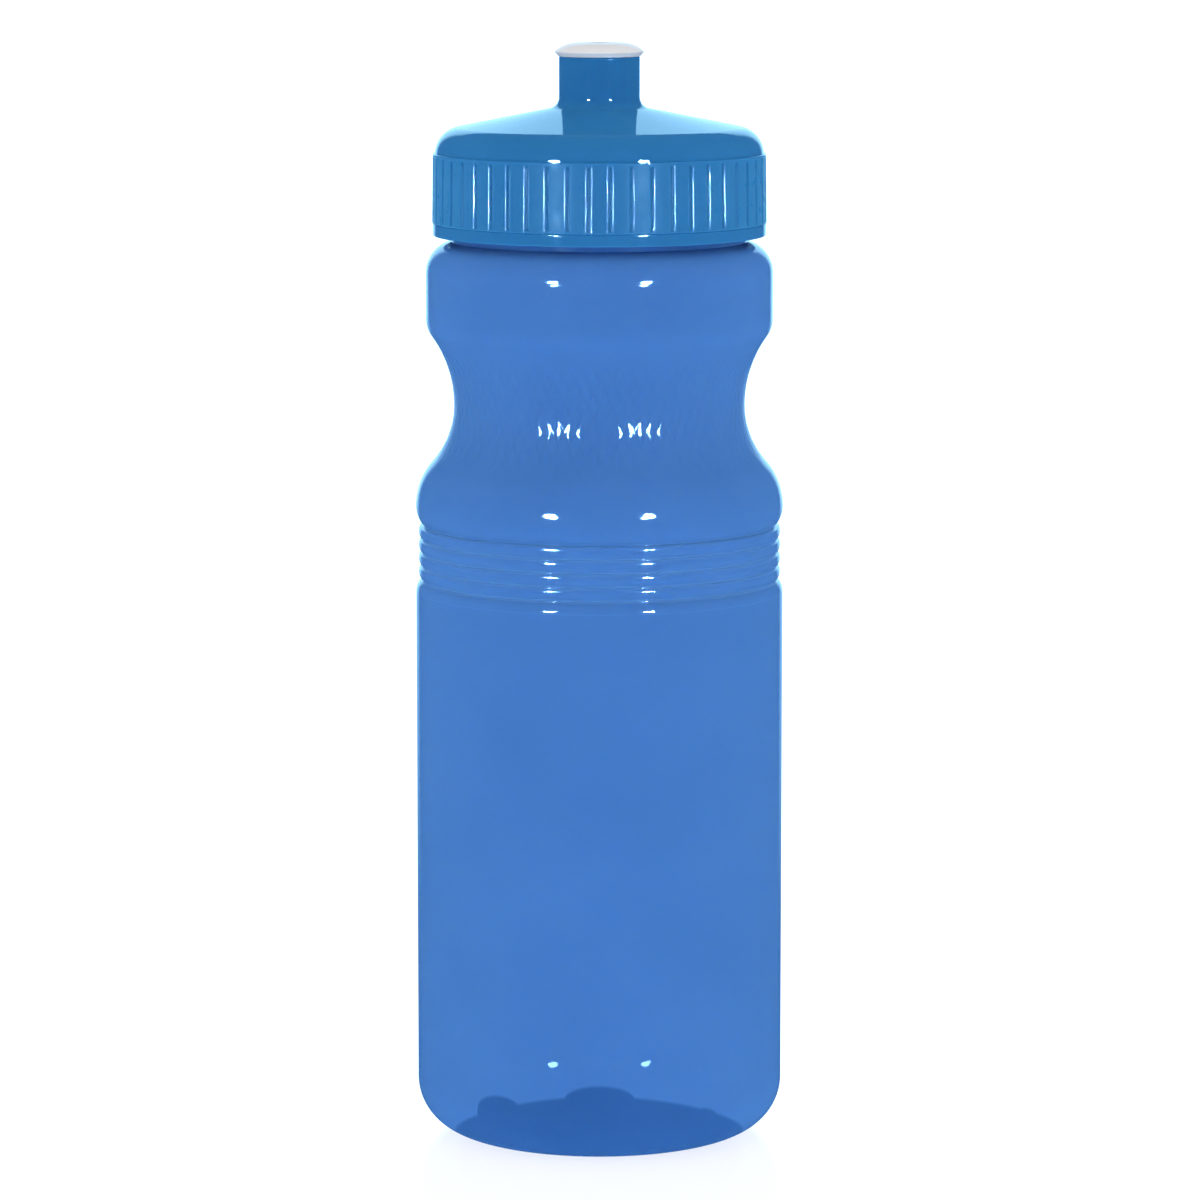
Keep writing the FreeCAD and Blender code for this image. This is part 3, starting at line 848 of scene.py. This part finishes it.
def painted_notch_light(mat):
    """1 on a strip at each notch between the rings: painted light that lifts the shade in the notches."""
    tree = mat.node_tree
    z = place_of(mat)[2]
    off = calc(tree, "PINGPONG", calc(tree, "SUBTRACT", z, NOTCH_LOW + GLOW_RISE), NOTCH_PITCH / 2)
    strip = clamped(tree, calc(tree, "MULTIPLY_ADD", off, -1 / GLOW_EDGE, GLOW_HALF / GLOW_EDGE))
    above = calc(tree, "GREATER_THAN", z, BODY_TOP)
    below = calc(tree, "LESS_THAN", z, NOTCH_LOW + (RINGS + 0.5) * NOTCH_PITCH)
    return calc(tree, "MULTIPLY", strip, calc(tree, "MULTIPLY", above, below))


def bottle_material():
    """Translucent blue squeeze plastic, glossy, slightly wavy from moulding, with painted light in the ring
    notches and painted shade low on the wall.
    """
    mat, shader = material("bottle_plastic", IOR=PLASTIC_IOR, Specular_IOR_Level=0.35, **scattering(0.003))
    tree = mat.node_tree
    cloud = noise(mat, 35, 4)
    # Painted light in the ring notches, then painted shade of the base low on the wall.
    tint = blend_colours(tree, painted_notch_light(mat), ramp(mat, cloud, *WALL_BLUE), ramp(mat, cloud, *NOTCH_LIGHT_BLUE))
    tint = blend_colours(tree, base_shade(mat), tint, ramp(mat, cloud, *BASE_SHADE_BLUE))
    tree.links.new(tint, shader.inputs["Base Color"])
    grain = noise(mat, 220)
    low_down = calc(tree, "LESS_THAN", place_of(mat)[2], SMOOTH_BELOW)
    gloss = blend_colours(tree, low_down, ramp(mat, grain, 0.04, 0.06), ramp(mat, grain, 0.01, 0.02))
    tree.links.new(gloss, shader.inputs["Roughness"])
    bump(mat, shader, noise(mat, 90, 2), 0.000015)
    return mat


def pad_masks(mat):
    """Two masks: 1 in the lid's grip zone, and 1 on the faces of its pads only."""
    tree = mat.node_tree
    x, y, z = place_of(mat)
    lean = (PAD_LOW_R - PAD_TOP_R) / (PAD_TOP - PAD_LOW)
    face = calc(tree, "MULTIPLY_ADD", z, -lean, PAD_LOW_R + lean * PAD_LOW - PAD_POLISH)
    outside = calc(tree, "GREATER_THAN", radius_of(tree, x, y), face)
    above = calc(tree, "GREATER_THAN", z, PAD_LOW + PAD_ROUND)
    below = calc(tree, "LESS_THAN", z, PAD_TOP - PAD_ROUND)
    zone = calc(tree, "MULTIPLY", above, below)
    return zone, calc(tree, "MULTIPLY", outside, zone)


def lid_material():
    """Solid blue moulded plastic, glossy, with satin grip pads."""
    mat, shader = material("lid_plastic", IOR=PLASTIC_IOR, **scattering(0.0015))
    tree = mat.node_tree
    tree.links.new(ramp(mat, noise(mat, 60, 4), *LID_BLUE), shader.inputs["Base Color"])
    grain = noise(mat, 300)
    polished, edges, satin = (ramp(mat, grain, *ends) for ends in ((0.02, 0.035), (0.06, 0.09), (0.24, 0.42)))
    zone, faces = pad_masks(mat)
    gloss = blend_colours(tree, faces, blend_colours(tree, zone, polished, edges), satin)
    tree.links.new(gloss, shader.inputs["Roughness"])
    specular = calc(tree, "MULTIPLY_ADD", faces, PAD_SPECULAR - POLISHED_SPECULAR, POLISHED_SPECULAR)
    tree.links.new(specular, shader.inputs["Specular IOR Level"])
    bump(mat, shader, noise(mat, 260), 0.00002)
    return mat


def mouthpiece_material():
    """White plastic, satin."""
    mat, shader = material("mouthpiece_plastic", IOR=PLASTIC_IOR)
    tree = mat.node_tree
    tree.links.new(ramp(mat, noise(mat, 120), *MOUTH_WHITE), shader.inputs["Base Color"])
    tree.links.new(ramp(mat, noise(mat, 400), 0.28, 0.40), shader.inputs["Roughness"])
    bump(mat, shader, noise(mat, 700), 0.00001)
    return mat


def seal_material():
    """Off-white soft seal, matt."""
    mat, shader = material("seal_rubber", IOR=RUBBER_IOR)
    tree = mat.node_tree
    tree.links.new(ramp(mat, noise(mat, 300, 4), *SEAL_WHITE), shader.inputs["Base Color"])
    tree.links.new(ramp(mat, noise(mat, 900), 0.6, 0.8), shader.inputs["Roughness"])
    bump(mat, shader, noise(mat, 1500), 0.00003)
    return mat


bottle.data.materials.append(bottle_material())
lid_plastic = lid_material()
lid.data.materials.append(lid_plastic)
post.data.materials.append(lid_plastic)
seal.data.materials.append(seal_material())
mouthpiece.data.materials.append(mouthpiece_material())

# ---------------------------------------------------------------- studio
FLOOR_R = 12.0
FLOOR_SIDES = 64
FLOOR_GREY = 0.3
FLOOR_GLOW = 0.78
WHITE = (1.0, 1.0, 1.0)
ROOM = (0.05, 0.17, 0.46)
BACKDROP = (0.75, 1.50, 2.10)
BACKDROP_SIDE = (0.30, 0.45)  # sideways per forwards, where the backdrop starts and ends to fade
BACKDROP_LOW = (0.40, 0.46)  # heights of its lower edge: 0 is straight down, 0.5 level and 1 straight up
BACKDROP_TOP = (0.715, 0.73)
LAMP_TINT = (0.30, 0.62, 1.0)
LAMPS = (  # name, azimuth, elevation, distance, width, height, power, and the height that it faces
    ("key", 31, 10, 2.5, 0.34, 0.34, 150, 0.12),
    ("edge", 27.9, 0, 0.385, 0.036, 0.015, 1.6, 0.1755),
    ("low", 27.9, -11.7, 0.385, 0.040, 0.0016, 0.010, 0.021),
)


def add_floor():
    """Large white floor, slightly glossy, lit from within like a light table."""
    mesh = bpy.data.meshes.new("floor")
    angles = [TURN * k / FLOOR_SIDES for k in range(FLOOR_SIDES)]
    rim = [(FLOOR_R * math.cos(angle), FLOOR_R * math.sin(angle), 0) for angle in angles]
    mesh.from_pydata(rim, [], [tuple(range(FLOOR_SIDES))])
    floor = bpy.data.objects.new("floor", mesh)
    bpy.context.scene.collection.objects.link(floor)
    mat, shader = material("floor_white", Roughness=0.12, IOR=PLASTIC_IOR)
    shader.inputs["Base Color"].default_value = (FLOOR_GREY, FLOOR_GREY, FLOOR_GREY, 1)
    shader.inputs["Emission Color"].default_value = (*WHITE, 1)
    shader.inputs["Emission Strength"].default_value = FLOOR_GLOW
    mesh.materials.append(mat)
    floor.visible_glossy = False
    floor.visible_shadow = False


def band_ramp(tree, source, stops):
    """A grey ramp with (position, level) stops."""
    node = tree.nodes.new("ShaderNodeValToRGB")
    ramp_stops = node.color_ramp.elements
    while len(ramp_stops) < len(stops):
        ramp_stops.new(0.5)
    for element, (at, level) in zip(ramp_stops, stops):
        element.position = at
        element.color = (level, level, level, 1)
    tree.links.new(source, node.inputs[0])
    return node.outputs[0]


def add_world():
    """Even white surround; in reflections, a dim room with one bright backdrop behind the bottle."""
    world = bpy.data.worlds.new("surround")
    bpy.context.scene.world = world
    world.use_nodes = True
    tree = world.node_tree
    tree.nodes.clear()
    place = tree.nodes.new("ShaderNodeTexCoord")
    split = tree.nodes.new("ShaderNodeSeparateXYZ")
    tree.links.new(place.outputs["Generated"], split.inputs[0])
    side = calc(tree, "ABSOLUTE", split.outputs["X"])
    ahead = calc(tree, "MAXIMUM", split.outputs["Y"], 0.001)
    fade, gone = BACKDROP_SIDE
    width = band_ramp(tree, calc(tree, "DIVIDE", side, ahead), [(0, 1), (fade, 1), (gone, 0), (1, 0)])
    height = calc(tree, "MULTIPLY_ADD", split.outputs["Z"], 0.5, 0.5)
    low, rise = BACKDROP_LOW
    fall, top = BACKDROP_TOP
    tall = band_ramp(tree, height, [(0, 0), (low, 0), (rise, 1), (fall, 1), (top, 0), (1, 0)])
    mirrored = blend_colours(tree, calc(tree, "MULTIPLY", width, tall), ROOM, BACKDROP)
    path = tree.nodes.new("ShaderNodeLightPath")
    bounced = calc(tree, "SUBTRACT", path.outputs["Is Glossy Ray"], path.outputs["Is Transmission Ray"])
    shown = blend_colours(tree, calc(tree, "MAXIMUM", bounced, 0.0), WHITE, mirrored)
    shown = blend_colours(tree, path.outputs["Is Camera Ray"], shown, WHITE)
    back = tree.nodes.new("ShaderNodeBackground")
    out = tree.nodes.new("ShaderNodeOutputWorld")
    tree.links.new(shown, back.inputs["Color"])
    tree.links.new(back.outputs[0], out.inputs["Surface"])


def add_lamp(name, azimuth, elevation, distance, width, height, power, aim):
    """An oval softbox for highlights, facing the axis at height aim; azimuth 0 is the camera's side."""
    data = bpy.data.lights.new(name, "AREA")
    data.shape = "ELLIPSE"
    data.size = width
    data.size_y = height
    data.energy = power
    data.color = LAMP_TINT
    lamp = bpy.data.objects.new(name, data)
    side, up = math.radians(azimuth), math.radians(elevation)
    flat = distance * math.cos(up)
    lamp.location = (flat * math.sin(side), -flat * math.cos(side), aim + distance * math.sin(up))
    lamp.rotation_euler = (math.pi / 2 - up, 0, side)
    lamp.visible_diffuse = False
    lamp.visible_camera = False
    bpy.context.scene.collection.objects.link(lamp)


add_floor()
add_world()
for end, side in (("left", -1), ("right", 1)):
    for name, azimuth, *rest in LAMPS:
        add_lamp(f"{name}_{end}", side * azimuth, *rest)
